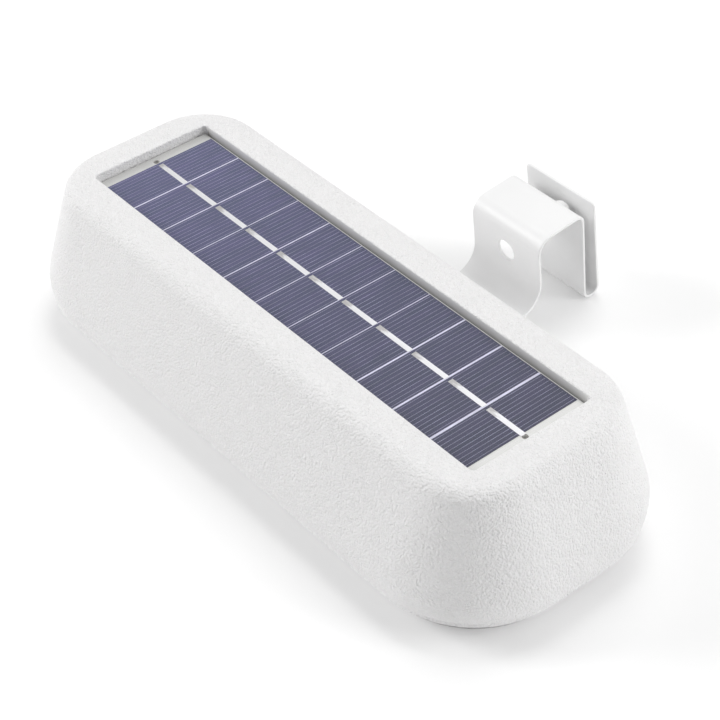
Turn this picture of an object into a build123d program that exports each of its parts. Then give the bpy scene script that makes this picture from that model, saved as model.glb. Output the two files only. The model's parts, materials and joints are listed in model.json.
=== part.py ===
from build123d import *
import os
from math import atan, cos, radians, sin, tan

# Solar-powered security camera: a long white bar housing with a solar panel let into
# its top, a bent steel hook bracket behind it, and the camera, lamps and motion
# sensor in its underside.
#
# Frame: origin at the middle of the underside, +Z up, +X along the housing,
# +Y towards the bracket. Millimetres.

# ---------------------------------------------------------------- housing
HOUSING_HEIGHT = 63.0
BASE_HALF_LENGTH = 146.4      # where the sloping wall would meet the underside
BASE_HALF_WIDTH = 62.5
BASE_CORNER = 50.0
TOP_HALF_LENGTH = 126.4       # where the sloping wall would meet the top
TOP_HALF_WIDTH = 41.8
TOP_CORNER = 24.4
TOP_ROUNDING = 7.0
BOTTOM_ROUNDING = 18.2
WALL = 2.6
FLOOR = 3.8                   # thickness of the base cover
PARTING_Z = 5.0
LIP_CLEARANCE = 0.2
LIP_THICKNESS = 1.4
LIP_HEIGHT = 4.0
SEAL_OUTER_INSET = 0.9
SEAL_WIDTH = 1.0
SEAL_HEIGHT = 0.8

WALL_LEAN = atan((BASE_HALF_WIDTH - TOP_HALF_WIDTH) / HOUSING_HEIGHT)

# ---------------------------------------------------------------- solar panel
CELL_PITCH = 19.5             # a 156 mm wafer cut into strips
CELL_LENGTH = 52.0            # one third of the same wafer
CELL_COUNT = 11
CELL_GAPS = (0.6, 0.5, 0.35, 0.5, 0.35, 0.35, 0.35, 0.7, 0.8, 1.0)
END_GAP = 2.0                 # twice the step from the outer cells to the ends of the pitch
CELL_THICKNESS = 0.2
CELL_TOP_Z = 59.3
RIBBON_WIDTH = 2.2
RIBBON_THICKNESS = 0.1
RIBBON_START = 1.3            # bare cell before each ribbon begins
FILM_THICKNESS = 0.15
BOARD_THICKNESS = 1.6
TAPE_THICKNESS = 0.5
PANEL_MARGIN = 0.5            # gap between the panel and the recess wall
RECESS_HALF_LENGTH = 111.6
RECESS_HALF_WIDTH = 27.1
RECESS_CORNER = 1.6
RECESS_RIM_ROUND = 0.7
RECESS_WALL = 2.4
PANEL_HOLE = (20.0, 0.0)      # the leads pass through here
PANEL_HOLE_RADIUS = 3.0
PAD_HOLE_X = 107.9            # a plated hole in the board past each end ribbon
PAD_HOLE_RADIUS = 0.8

CELL_BASE_Z = CELL_TOP_Z - CELL_THICKNESS
BOARD_BASE_Z = CELL_BASE_Z - BOARD_THICKNESS
RECESS_FLOOR_Z = BOARD_BASE_Z - TAPE_THICKNESS
CEILING_Z = RECESS_FLOOR_Z - RECESS_WALL      # underside of the recess floor

# ---------------------------------------------------------------- hook bracket
SHEET = 1.2
STRIP_WIDTH = 38.8
HOOK_LEAN = 5.0               # the hook leans this far towards the housing
FLANGE_LEAN = 1.7             # and its rear flange this much further
FOOT_Z = 10.2                 # middle of the sheet where it enters the housing
FOOT_INNER_Y = 31.0
FRONT_PLATE_Y = 94.3          # middle of the sheet at the foot of the front plate
FRONT_PLATE_RISE = 33.3
TOP_RUN = 24.0
MID_LEG_DROP = 44.8
SLOT_RUN = 7.6
FLANGE_RISE = 47.2
FOOT_BEND = 11.5
FRONT_BEND = 6.5
REAR_BEND = 3.4
SLOT_BEND = 3.6
FLANGE_CORNER = 2.2
SHEET_EDGE = 0.35             # the coat rounds the sheet's edges
FIXING_HOLE_RADIUS = 4.7
FIXING_HOLE_DROP = 14.2       # below the front top corner, along the plate
DIMPLE_RADIUS = 4.3
DIMPLE_DEPTH = 3.9
DIMPLE_DROP = 5.8
DIMPLE_X = 5.2
BRACKET_SCREW_X = 11.0
BRACKET_SCREW_Y = 40.0

# ---------------------------------------------------------------- camera in its pan ring
TURRET_Y = -5.0
WELL_RADIUS = 24.0
WELL_CHAMFER = 1.6
RING_BOTTOM_Z = 3.0
SHOULDER_Z = 6.0
RING_TOP_Z = 8.0
RING_CLEARANCE = 0.3
FLANGE_RADIUS = 25.5
COLLAR_RADIUS = 29.2
COLLAR_TOP_Z = 8.4
RETAINER_THICKNESS = 1.8
RETAINER_INNER = 21.5
RETAINER_SCREW_RADIUS = 27.5
HEAD_Z = 17.0
HEAD_RADIUS = 15.5
HEAD_WALL = 1.6
HEAD_FACE_Z = 3.2
SOCKET_RADIUS = 16.1
LENS_SLOT_RADIUS = 17.6
LENS_SLOT_HALF = 8.2
VIEW_WINDOW_REACH = 21.0
EAR_INNER_X = 16.3
EAR_OUTER_X = 18.8
EAR_HALF_WIDTH = 4.0
PIN_RADIUS = 1.5
PIN_CLEARANCE = 0.05
BARREL_RADIUS = 5.4
BARREL_BORE = 4.2
BARREL_TOP_Z = 14.0
TRIM_RADIUS = 6.8
TRIM_BOTTOM_Z = 1.6
INFRARED_RADIUS = 1.5
INFRARED_CIRCLE = 19.8
INFRARED_ANGLES = (-45, 0, 45, 135, 180, 225)

# ---------------------------------------------------------------- lamps
LAMP_X = 82.0
LAMP_LENGTH = 48.0
LAMP_WIDTH = 40.0
LAMP_STEP = 2.0               # how far the lens flange passes under the cover
LAMP_FACE_Z = 0.6
LAMP_STEP_Z = 2.0
LAMP_COLUMNS = 5
LAMP_ROWS = 3
REFLECTOR_TOP_Z = 7.2
LED_BOARD_THICKNESS = 1.2
LED_SIZE = (3.5, 2.8, 0.7)

# ---------------------------------------------------------------- motion sensor
MOTION_X = -43.0
MOTION_HOLE_RADIUS = 11.4
DOME_RADIUS = 10.0
DOME_WALL = 0.8
DOME_CENTRE_Z = 10.8
MOTION_COLLAR_TOP_Z = 10.0
DOME_FLANGE_RADIUS = 13.0
MOTION_BOARD_Z = 13.4
MOTION_BOARD_THICKNESS = 1.2

# ---------------------------------------------------------------- buttons and ports
CONTROL_X = 43.0
POWER_BUTTON_Y = 25.0
POWER_BUTTON_RADIUS = 5.0
RESET_BUTTON_Y = -12.0
RESET_BUTTON_RADIUS = 2.4
BUTTON_CLEARANCE = 0.3
BUTTON_FACE_Z = 0.5
BUTTON_FLANGE = 1.2
BUTTON_TOP_Z = 5.0
STEM_RADIUS = 1.6
STEM_TOP_Z = 5.8
SWITCH_BOTTOM_Z = 6.8
BUTTON_BOARD_Z = 9.8
BUTTON_BOARD_THICKNESS = 1.2
STATUS_LIGHT_Y = -20.0
MICROPHONE_Y = -27.0
PORT_Y = 6.0
FLAP_LENGTH = 18.0
FLAP_WIDTH = 14.0
FLAP_BOTTOM_Z = 0.3
FLAP_TOP_Z = 1.8
FLAP_CLEARANCE = 0.3
FLAP_POCKET_Z = 2.1
FLAP_PIVOT_RADIUS = 0.75
PORT_X_OFFSET = -0.8
USB_Y_OFFSET = -3.0
CARD_Y_OFFSET = 3.2

# ---------------------------------------------------------------- inside
SCREW_PLACES = [(112, 26), (112, -26), (-112, 26), (-112, -26),
                (54, 29), (54, -29), (-56, 29), (-56, -29)]
BOSS_RADIUS = 4.4
INSERT_RADIUS = 2.1
INSERT_LENGTH = 6.0
SCREW_RADIUS = 1.45
SCREW_HEAD_RADIUS = 2.8
SCREW_HEAD_HEIGHT = 1.6
COUNTERBORE_RADIUS = 3.2
COUNTERBORE_DEPTH = 1.9
BOARD_X = 75.0
BOARD_LENGTH = 66.0
BOARD_WIDTH = 44.0
BOARD_Z = 34.0
BOARD_POST_RADIUS = 3.0
BOARD_POSTS = [(46, 18), (46, -18), (104, 18), (104, -18)]
BATTERY_X = -74.0
BATTERY_Y = 10.3
BATTERY_Z = 40.0
BATTERY_RADIUS = 9.2
BATTERY_LENGTH = 65.0
HOLDER_BASE_Z = 28.0
HOLDER_POSTS = [(-94, 27.5), (-94, -27.5)]
HOLDER_POST_RADIUS = 3.2
WIRE_RADIUS = 0.7
SPEAKER_PLACE = (-32.0, 25.5)
SPEAKER_RADIUS = 8.0

parts = {}


# ---------------------------------------------------------------- shared shapes
def housing_body(inset):
    """The rounded, tapering housing block, shrunk evenly by inset on every side."""
    spread = tan(WALL_LEAN) * inset
    skin = inset / cos(WALL_LEAN)
    low = RectangleRounded(2 * (BASE_HALF_LENGTH - spread - skin),
                           2 * (BASE_HALF_WIDTH - spread - skin),
                           BASE_CORNER - spread - skin)
    high = RectangleRounded(2 * (TOP_HALF_LENGTH + spread - skin),
                            2 * (TOP_HALF_WIDTH + spread - skin),
                            TOP_CORNER + spread - skin)
    block = loft([Pos(0, 0, inset) * low, Pos(0, 0, HOUSING_HEIGHT - inset) * high], ruled=True)
    levels = block.edges().group_by(Axis.Z)
    block = fillet(levels[-1], TOP_ROUNDING - inset)
    return fillet(block.edges().group_by(Axis.Z)[0], BOTTOM_ROUNDING - inset)


def slab(x_low, x_high, y_low, y_high, z_low, z_high):
    """A box given by its low and high corners."""
    middle = ((x_low + x_high) / 2, (y_low + y_high) / 2, (z_low + z_high) / 2)
    return Pos(*middle) * Box(x_high - x_low, y_high - y_low, z_high - z_low)


def layer(z_low, z_high):
    """Everything between two heights, wider than the housing."""
    reach = 2 * BASE_HALF_LENGTH
    return slab(-reach, reach, -reach, reach, z_low, z_high)


def post(x, y, z_low, z_high, radius):
    """An upright round bar."""
    return Pos(x, y, (z_low + z_high) / 2) * Cylinder(radius, z_high - z_low)


def tube(x, y, z_low, z_high, radius, bore):
    """An upright round tube."""
    return post(x, y, z_low, z_high, radius) - post(x, y, z_low - 1, z_high + 1, bore)


def tile(x, y, z_low, z_high, length, width, corner=0.0):
    """An upright block on a rectangular outline, with rounded corners if asked."""
    outline = RectangleRounded(length, width, corner) if corner else Rectangle(length, width)
    return Pos(x, y, z_low) * extrude(outline, z_high - z_low)


def wire(points, share=0.45):
    """A round wire along straight runs joined by wide arcs."""
    runs = [(Vector(*b) - Vector(*a)) for a, b in zip(points, points[1:])]
    radii = []
    for first, second in zip(runs, runs[1:]):
        half_turn = radians(first.get_angle(second)) / 2
        radii.append(share * min(first.length, second.length) / tan(half_turn))
    path = FilletPolyline(*points, radius=radii)
    start = Plane(origin=path @ 0, z_dir=path % 0)
    return sweep(start * Circle(WIRE_RADIUS), path)


def screw_from_below(x, y, z_seat, z_tip, shank, head, head_height):
    """A pan-head screw driven upwards, with a cross recess."""
    body = post(x, y, z_seat - head_height, z_seat, head)
    body = chamfer(body.edges().group_by(Axis.Z)[0], head_height * 0.4)
    body += post(x, y, z_seat, z_tip, shank)
    bottom = z_seat - head_height
    for long_side, short_side in ((1.1 * head, 0.28 * head), (0.28 * head, 1.1 * head)):
        body -= tile(x, y, bottom - 1, bottom + 0.6 * head_height, long_side, short_side)
    return body


# ---------------------------------------------------------------- hook bracket
def hook_corners():
    """Corners of the sheet's middle line in the YZ plane, from the foot to the flange."""
    corners = [(FOOT_INNER_Y, FOOT_Z), (FRONT_PLATE_Y, FOOT_Z)]
    steps = [(90 + HOOK_LEAN, FRONT_PLATE_RISE), (HOOK_LEAN, TOP_RUN), (HOOK_LEAN - 90, MID_LEG_DROP),
             (HOOK_LEAN, SLOT_RUN), (90 + HOOK_LEAN + FLANGE_LEAN, FLANGE_RISE)]
    for heading, length in steps:
        y, z = corners[-1]
        corners.append((y + length * cos(radians(heading)), z + length * sin(radians(heading))))
    return corners


def along_hook(corner, drop):
    """A point on the plate below one of the hook's top corners, and the plate's down direction."""
    y, z = hook_corners()[corner]
    down = radians(HOOK_LEAN - 90)
    return y + drop * cos(down), z + drop * sin(down)


def make_hook_bracket():
    corners = [(0, y, z) for y, z in hook_corners()]
    bends = [FOOT_BEND, FRONT_BEND, REAR_BEND, SLOT_BEND, SLOT_BEND]
    path = FilletPolyline(*corners, radius=bends)
    start = Plane(origin=path @ 0, x_dir=(1, 0, 0), z_dir=path % 0)
    strip = sweep(start * Rectangle(STRIP_WIDTH, SHEET), path)

    rim = strip.edges().filter_by(lambda e: abs(e.length - SHEET) < 0.05)
    rim = rim.filter_by(lambda e: e.center().Y > corners[-1][1] - 5 and e.center().Z > corners[-1][2] - 5)
    strip = fillet(rim, FLANGE_CORNER)
    side_x = STRIP_WIDTH / 2 - FLANGE_CORNER
    rim = strip.edges().filter_by(lambda e: abs(e.center().X) > side_x or e.center().Z > corners[-1][2] - 1)
    strip = fillet(rim.filter_by(lambda e: e.length > 1.5 * SHEET), SHEET_EDGE)

    hole_y, hole_z = along_hook(2, FIXING_HOLE_DROP)
    through = Location((0, hole_y, hole_z), (-90 + HOOK_LEAN, 0, 0))
    strip -= through * Cylinder(FIXING_HOLE_RADIUS, 8 * SHEET)

    dimple_y, dimple_z = along_hook(3, DIMPLE_DROP)
    depth = radians(HOOK_LEAN)
    shift = SHEET / 2 + DIMPLE_DEPTH - DIMPLE_RADIUS
    centre = (DIMPLE_X, dimple_y + shift * cos(depth), dimple_z + shift * sin(depth))
    behind = Location((0, dimple_y, dimple_z), (HOOK_LEAN, 0, 0)) * Pos(0, 10, 0) * Box(40, 20, 20)
    strip += (Pos(*centre) * Sphere(DIMPLE_RADIUS)) & behind
    strip -= Pos(*centre) * Sphere(DIMPLE_RADIUS - SHEET)

    for side in (-1, 1):
        strip -= post(side * BRACKET_SCREW_X, BRACKET_SCREW_Y, 0, 2 * FOOT_Z, 2.2)
    parts["hook_bracket"] = strip


def make_bracket_fixings():
    foot_top = FOOT_Z + SHEET / 2
    nuts = []
    screws = []
    for side in (-1, 1):
        x = side * BRACKET_SCREW_X
        nut = Pos(x, BRACKET_SCREW_Y, foot_top) * extrude(RegularPolygon(4.0, 6), 3.0)
        nuts.append(nut - post(x, BRACKET_SCREW_Y, 0, 30, 2.0))
        screws.append(screw_from_below(x, BRACKET_SCREW_Y, 3.4, foot_top + 4.2, 1.95, 3.5, 2.4))
    parts["bracket_nuts"] = Compound(nuts)
    parts["bracket_screws"] = Compound(screws)

    half = STRIP_WIDTH / 2
    sleeve = slab(-half - 1.6, half + 1.6, BRACKET_SCREW_Y + 5, 70, FOOT_Z - 1.7, FOOT_Z + 1.7)
    sleeve = (sleeve & housing_body(-0.8)) - housing_body(WALL + 1.2)
    parts["bracket_grommet"] = sleeve - foot_space(0.0)


def foot_space(gap):
    """The room that the bracket's foot takes where it passes into the housing."""
    half = STRIP_WIDTH / 2 + gap
    return slab(-half, half, FOOT_INNER_Y - 1, 75, FOOT_Z - SHEET / 2 - gap, FOOT_Z + SHEET / 2 + gap)


# ---------------------------------------------------------------- housing shells
def recess_block(grow, z_low, z_high):
    """The panel recess, grown sideways."""
    return tile(0, 0, z_low, z_high, 2 * (RECESS_HALF_LENGTH + grow), 2 * (RECESS_HALF_WIDTH + grow),
                RECESS_CORNER + grow)


def make_upper_housing(outer):
    cavity = housing_body(WALL) - recess_block(RECESS_WALL, CEILING_Z, HOUSING_HEIGHT)
    pillars = Part()
    for x, y in SCREW_PLACES:
        pillars += post(x, y, FLOOR, CEILING_Z, BOSS_RADIUS)
    for x, y in BOARD_POSTS:
        pillars += post(x, y, BOARD_Z + 1.6, CEILING_Z, BOARD_POST_RADIUS)
    for x, y in HOLDER_POSTS:
        pillars += post(x, y, HOLDER_BASE_Z + 5, CEILING_Z, HOLDER_POST_RADIUS)
    cavity -= pillars

    shell = (outer & layer(PARTING_Z, 2 * HOUSING_HEIGHT)) - cavity
    for x, y in SCREW_PLACES:
        shell += tube(x, y, FLOOR, PARTING_Z, BOSS_RADIUS, INSERT_RADIUS)
    shell -= recess_block(0, RECESS_FLOOR_Z, 2 * HOUSING_HEIGHT)
    top_edges = shell.faces().sort_by(Axis.Z)[-1].inner_wires()[0].edges()
    shell = fillet(top_edges, RECESS_RIM_ROUND)

    for x, y in SCREW_PLACES:
        shell -= post(x, y, FLOOR - 1, FLOOR + INSERT_LENGTH, INSERT_RADIUS)
        shell -= post(x, y, FLOOR - 1, FLOOR + INSERT_LENGTH + 3, SCREW_RADIUS)
    for x, y in BOARD_POSTS + HOLDER_POSTS:
        shell -= post(x, y, HOLDER_BASE_Z, BOARD_Z + 9, 1.0)
    shell -= post(*PANEL_HOLE, CEILING_Z - 1, HOUSING_HEIGHT, PANEL_HOLE_RADIUS)
    half = STRIP_WIDTH / 2 + 1.6
    shell -= slab(-half, half, BRACKET_SCREW_Y + 5, 70, FOOT_Z - 1.7, FOOT_Z + 1.7)
    parts["upper_housing"] = shell


def lamp_openings():
    """Stepped openings for the two lamp lenses."""
    cut = Part()
    for side in (-1, 1):
        cut += tile(side * LAMP_X, 0, -1, FLOOR + 1, LAMP_LENGTH, LAMP_WIDTH, 3.0)
        cut += tile(side * LAMP_X, 0, LAMP_STEP_Z, FLOOR + 1, LAMP_LENGTH + 2 * LAMP_STEP,
                    LAMP_WIDTH + 2 * LAMP_STEP, 3.0 + LAMP_STEP)
    return cut


def control_openings():
    """Holes for the buttons, light, microphone, ports and speaker."""
    cut = Part()
    cut += post(CONTROL_X, POWER_BUTTON_Y, -1, FLOOR + 1, POWER_BUTTON_RADIUS + BUTTON_CLEARANCE)
    cut += post(CONTROL_X, RESET_BUTTON_Y, -1, FLOOR + 1, RESET_BUTTON_RADIUS + BUTTON_CLEARANCE)
    cut += post(CONTROL_X, STATUS_LIGHT_Y, -1, FLOOR + 1, 1.55)
    cut += post(CONTROL_X, MICROPHONE_Y, -1, FLOOR + 1, 0.7)
    cut += tile(CONTROL_X, PORT_Y, -1, FLAP_POCKET_Z, FLAP_LENGTH + 2 * FLAP_CLEARANCE,
                FLAP_WIDTH + 2 * FLAP_CLEARANCE)
    cut += tile(CONTROL_X + PORT_X_OFFSET, PORT_Y + USB_Y_OFFSET, 0, FLOOR + 1, 9.3, 3.6, 1.7)
    cut += tile(CONTROL_X + PORT_X_OFFSET, PORT_Y + CARD_Y_OFFSET, 0, FLOOR + 1, 12.4, 1.7)
    x, y = SPEAKER_PLACE
    cut += post(x, y, -1, FLOOR + 1, 0.8)
    for step in range(6):
        turn = radians(60 * step)
        cut += post(x + 3.4 * cos(turn), y + 3.4 * sin(turn), -1, FLOOR + 1, 0.8)
    return cut


def make_base_cover(outer):
    cover = (outer & layer(-1, PARTING_Z)) - housing_body(FLOOR)
    lip_inset = WALL + LIP_CLEARANCE + LIP_THICKNESS
    lip = housing_body(WALL + LIP_CLEARANCE) - housing_body(lip_inset)
    lip &= layer(lip_inset, PARTING_Z + LIP_HEIGHT)
    lip -= slab(-24, 24, 0, 70, FOOT_Z - 3, 2 * FOOT_Z)
    cover += lip
    seal_track = housing_body(SEAL_OUTER_INSET) - housing_body(SEAL_OUTER_INSET + SEAL_WIDTH)
    seal_track &= layer(PARTING_Z - SEAL_HEIGHT, PARTING_Z)
    cover -= seal_track
    parts["housing_seal"] = seal_track

    cover += post(0, TURRET_Y, 0, COLLAR_TOP_Z, COLLAR_RADIUS)
    cover -= post(0, TURRET_Y, -1, COLLAR_TOP_Z + 1, WELL_RADIUS)
    cover -= post(0, TURRET_Y, SHOULDER_Z, COLLAR_TOP_Z + 1, FLANGE_RADIUS + RING_CLEARANCE)
    mouth = Pos(0, TURRET_Y, WELL_CHAMFER / 2) * Cone(WELL_RADIUS + WELL_CHAMFER, WELL_RADIUS, WELL_CHAMFER)
    cover -= mouth
    for step in range(3):
        x, y = retainer_screw_place(step)
        cover -= post(x, y, 3.0, COLLAR_TOP_Z + 1, 0.95)

    cover += post(MOTION_X, 0, 0, MOTION_COLLAR_TOP_Z, DOME_FLANGE_RADIUS)
    cover -= post(MOTION_X, 0, -1, MOTION_COLLAR_TOP_Z + 1, MOTION_HOLE_RADIUS)
    cover -= lamp_openings()
    cover -= control_openings()

    for side in (-1, 1):
        x = side * BRACKET_SCREW_X
        cover += post(x, BRACKET_SCREW_Y, 2, FOOT_Z - SHEET / 2, 5.5)
        cover -= post(x, BRACKET_SCREW_Y, -1, 2 * FOOT_Z, 2.1)
        cover -= post(x, BRACKET_SCREW_Y, -1, 3.4, 3.9)
    for x, y in SCREW_PLACES:
        cover -= post(x, y, -1, PARTING_Z + LIP_HEIGHT, SCREW_RADIUS + 0.2)
        cover -= post(x, y, -1, COUNTERBORE_DEPTH, COUNTERBORE_RADIUS)
        cover -= post(x, y, FLOOR, PARTING_Z + LIP_HEIGHT + 1, BOSS_RADIUS + 0.2)
    parts["base_cover"] = cover


def make_housing_fixings():
    screws = []
    inserts = []
    for x, y in SCREW_PLACES:
        screws.append(screw_from_below(x, y, COUNTERBORE_DEPTH, FLOOR + INSERT_LENGTH + 1,
                                       SCREW_RADIUS, SCREW_HEAD_RADIUS, SCREW_HEAD_HEIGHT))
        inserts.append(tube(x, y, FLOOR, FLOOR + INSERT_LENGTH, INSERT_RADIUS, SCREW_RADIUS + 0.05))
    parts["cover_screws"] = Compound(screws)
    parts["housing_inserts"] = Compound(inserts)


# ---------------------------------------------------------------- solar panel
def make_panel():
    length = 2 * (RECESS_HALF_LENGTH - PANEL_MARGIN)
    width = 2 * (RECESS_HALF_WIDTH - PANEL_MARGIN)
    hole = post(*PANEL_HOLE, RECESS_FLOOR_Z - 1, BOARD_BASE_Z, PANEL_HOLE_RADIUS)
    parts["panel_tape"] = tile(0, 0, RECESS_FLOOR_Z, BOARD_BASE_Z, length - 4, width - 4) - hole
    board = tile(0, 0, BOARD_BASE_Z, CELL_BASE_Z, length, width)
    for side in (-1, 1):
        board -= post(side * PAD_HOLE_X, 0, BOARD_BASE_Z - 1, CELL_TOP_Z, PAD_HOLE_RADIUS)
    parts["panel_board"] = board
    cells = []
    ribbons = []
    first_x = -CELL_COUNT * CELL_PITCH / 2
    gaps = (END_GAP,) + CELL_GAPS + (END_GAP,)
    for index in range(CELL_COUNT):
        x_low = first_x + index * CELL_PITCH + gaps[index] / 2
        x_high = first_x + (index + 1) * CELL_PITCH - gaps[index + 1] / 2
        cells.append(slab(x_low, x_high, -CELL_LENGTH / 2, CELL_LENGTH / 2, CELL_BASE_Z, CELL_TOP_Z))
        ribbons.append(slab(x_low + RIBBON_START, x_high + gaps[index + 1] / 2, -RIBBON_WIDTH / 2,
                            RIBBON_WIDTH / 2, CELL_TOP_Z, CELL_TOP_Z + RIBBON_THICKNESS))
    parts["solar_cells"] = Compound(cells)
    parts["cell_ribbons"] = Compound(ribbons)
    film_base = CELL_TOP_Z + RIBBON_THICKNESS
    parts["panel_film"] = tile(0, 0, film_base, film_base + FILM_THICKNESS, length, width)


# ---------------------------------------------------------------- camera in its pan ring
def retainer_screw_place(step):
    """The ring retainer's screws stand evenly on a circle."""
    turn = radians(90 + 120 * step)
    return RETAINER_SCREW_RADIUS * cos(turn), TURRET_Y + RETAINER_SCREW_RADIUS * sin(turn)


def head_ball(radius):
    return Pos(0, TURRET_Y, HEAD_Z) * Sphere(radius)


def pivot_bar(x_low, x_high, radius):
    """A bar along the camera head's tilt axis."""
    return Pos((x_low + x_high) / 2, TURRET_Y, HEAD_Z) * Rot(0, 90, 0) * Cylinder(radius, x_high - x_low)


def infrared_place(angle):
    return (INFRARED_CIRCLE * cos(radians(angle)), TURRET_Y + INFRARED_CIRCLE * sin(radians(angle)))


def make_pan_ring():
    ring = post(0, TURRET_Y, RING_BOTTOM_Z, SHOULDER_Z, WELL_RADIUS - RING_CLEARANCE)
    ring += post(0, TURRET_Y, SHOULDER_Z, RING_TOP_Z, FLANGE_RADIUS)
    for side in (-1, 1):
        x_edges = sorted((side * EAR_INNER_X, side * EAR_OUTER_X))
        ear = slab(*x_edges, TURRET_Y - EAR_HALF_WIDTH, TURRET_Y + EAR_HALF_WIDTH, RING_TOP_Z, HEAD_Z)
        ring += ear + pivot_bar(*x_edges, EAR_HALF_WIDTH)
    ring -= head_ball(SOCKET_RADIUS)
    ring -= pivot_bar(-LENS_SLOT_HALF, LENS_SLOT_HALF, LENS_SLOT_RADIUS)
    ring -= slab(-LENS_SLOT_HALF, LENS_SLOT_HALF, TURRET_Y - VIEW_WINDOW_REACH, TURRET_Y, 0, RING_TOP_Z + 1)
    ring -= pivot_bar(-30, 30, PIN_RADIUS + PIN_CLEARANCE)
    lamps = []
    for angle in INFRARED_ANGLES:
        x, y = infrared_place(angle)
        ring -= post(x, y, 0, SHOULDER_Z, INFRARED_RADIUS + 0.05)
        lamps.append(post(x, y, RING_BOTTOM_Z, SHOULDER_Z, INFRARED_RADIUS)
                     + Pos(x, y, RING_BOTTOM_Z) * Sphere(INFRARED_RADIUS))
    parts["pan_ring"] = ring
    parts["infrared_lamps"] = Compound(lamps)


def make_ring_retainer():
    top = COLLAR_TOP_Z + RETAINER_THICKNESS
    retainer = tube(0, TURRET_Y, COLLAR_TOP_Z, top, COLLAR_RADIUS, RETAINER_INNER)
    screws = []
    for step in range(3):
        x, y = retainer_screw_place(step)
        retainer -= post(x, y, COLLAR_TOP_Z - 1, top + 1, 1.1)
        screws.append(post(x, y, 4.0, top, 0.9) + post(x, y, top, top + 1.4, 1.8))
    parts["ring_retainer"] = retainer
    parts["retainer_screws"] = Compound(screws)


def make_camera_head():
    shell = head_ball(HEAD_RADIUS) - head_ball(HEAD_RADIUS - HEAD_WALL)
    shell += head_ball(HEAD_RADIUS) & post(0, TURRET_Y, 0, HEAD_FACE_Z + 3.0, 9.5)
    shell &= layer(HEAD_FACE_Z, 3 * HEAD_Z)
    shell -= post(0, TURRET_Y, 0, HEAD_Z, BARREL_RADIUS)
    shell -= pivot_bar(-30, 30, PIN_RADIUS)
    parts["head_front"] = shell & layer(0, HEAD_Z)
    cable_way = post(0, TURRET_Y, HEAD_Z + 5, 3 * HEAD_Z, 3.0)
    parts["head_back"] = (shell & layer(HEAD_Z, 3 * HEAD_Z)) - cable_way
    pins = [pivot_bar(*sorted((side * (HEAD_RADIUS - 3.2), side * EAR_OUTER_X)), PIN_RADIUS)
            for side in (-1, 1)]
    parts["head_pins"] = Compound(pins)

    barrel = tube(0, TURRET_Y, HEAD_FACE_Z, BARREL_TOP_Z, BARREL_RADIUS, BARREL_BORE)
    barrel += tube(0, TURRET_Y, BARREL_TOP_Z - 1.6, BARREL_TOP_Z, 7.4, BARREL_BORE)
    parts["lens_barrel"] = barrel
    trim = tube(0, TURRET_Y, TRIM_BOTTOM_Z, HEAD_FACE_Z, TRIM_RADIUS, BARREL_BORE + 0.6)
    trim = chamfer(trim.edges().group_by(Axis.Z)[0], 0.5)
    parts["lens_trim"] = trim
    front = post(0, TURRET_Y, TRIM_BOTTOM_Z - 0.6, HEAD_FACE_Z, BARREL_BORE + 0.5)
    front &= Pos(0, TURRET_Y, TRIM_BOTTOM_Z + 12.0) * Sphere(12.4)
    parts["lens_glass"] = front
    rear = post(0, TURRET_Y, 6.0, 9.0, BARREL_BORE)
    rear &= Pos(0, TURRET_Y, 6.4 + 8.0) * Sphere(8.0)
    parts["inner_lens"] = rear
    board = post(0, TURRET_Y, BARREL_TOP_Z, BARREL_TOP_Z + 1.2, 9.5)
    parts["sensor_board"] = board
    parts["image_sensor"] = tile(0, TURRET_Y, BARREL_TOP_Z - 0.9, BARREL_TOP_Z, 5.4, 4.4)


# ---------------------------------------------------------------- lamps and motion sensor
def make_lamps():
    lenses = []
    reflectors = []
    boards = []
    diodes = []
    length = LAMP_LENGTH + 2 * LAMP_STEP - 0.4
    width = LAMP_WIDTH + 2 * LAMP_STEP - 0.4
    for side in (-1, 1):
        x = side * LAMP_X
        lens = tile(x, 0, LAMP_FACE_Z, LAMP_STEP_Z, LAMP_LENGTH - 0.2, LAMP_WIDTH - 0.2, 2.9)
        lens += tile(x, 0, LAMP_STEP_Z, FLOOR, length, width, 4.8)
        lenses.append(lens)
        reflector = tile(x, 0, FLOOR, REFLECTOR_TOP_Z, length, width, 2.0)
        for column in range(LAMP_COLUMNS):
            for row in range(LAMP_ROWS):
                led_x = x + (column - (LAMP_COLUMNS - 1) / 2) * length / LAMP_COLUMNS
                led_y = (row - (LAMP_ROWS - 1) / 2) * width / LAMP_ROWS
                height = REFLECTOR_TOP_Z - FLOOR
                cup = Pos(led_x, led_y, FLOOR + height / 2) * Cone(4.7, 2.8, height)
                reflector -= cup
                diodes.append(tile(led_x, led_y, REFLECTOR_TOP_Z - LED_SIZE[2], REFLECTOR_TOP_Z,
                                   LED_SIZE[0], LED_SIZE[1]))
        reflectors.append(reflector)
        boards.append(tile(x, 0, REFLECTOR_TOP_Z, REFLECTOR_TOP_Z + LED_BOARD_THICKNESS, length, width, 2.0))
    parts["lamp_lenses"] = Compound(lenses)
    parts["lamp_reflectors"] = Compound(reflectors)
    parts["lamp_boards"] = Compound(boards)
    parts["lamp_diodes"] = Compound(diodes)


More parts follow.
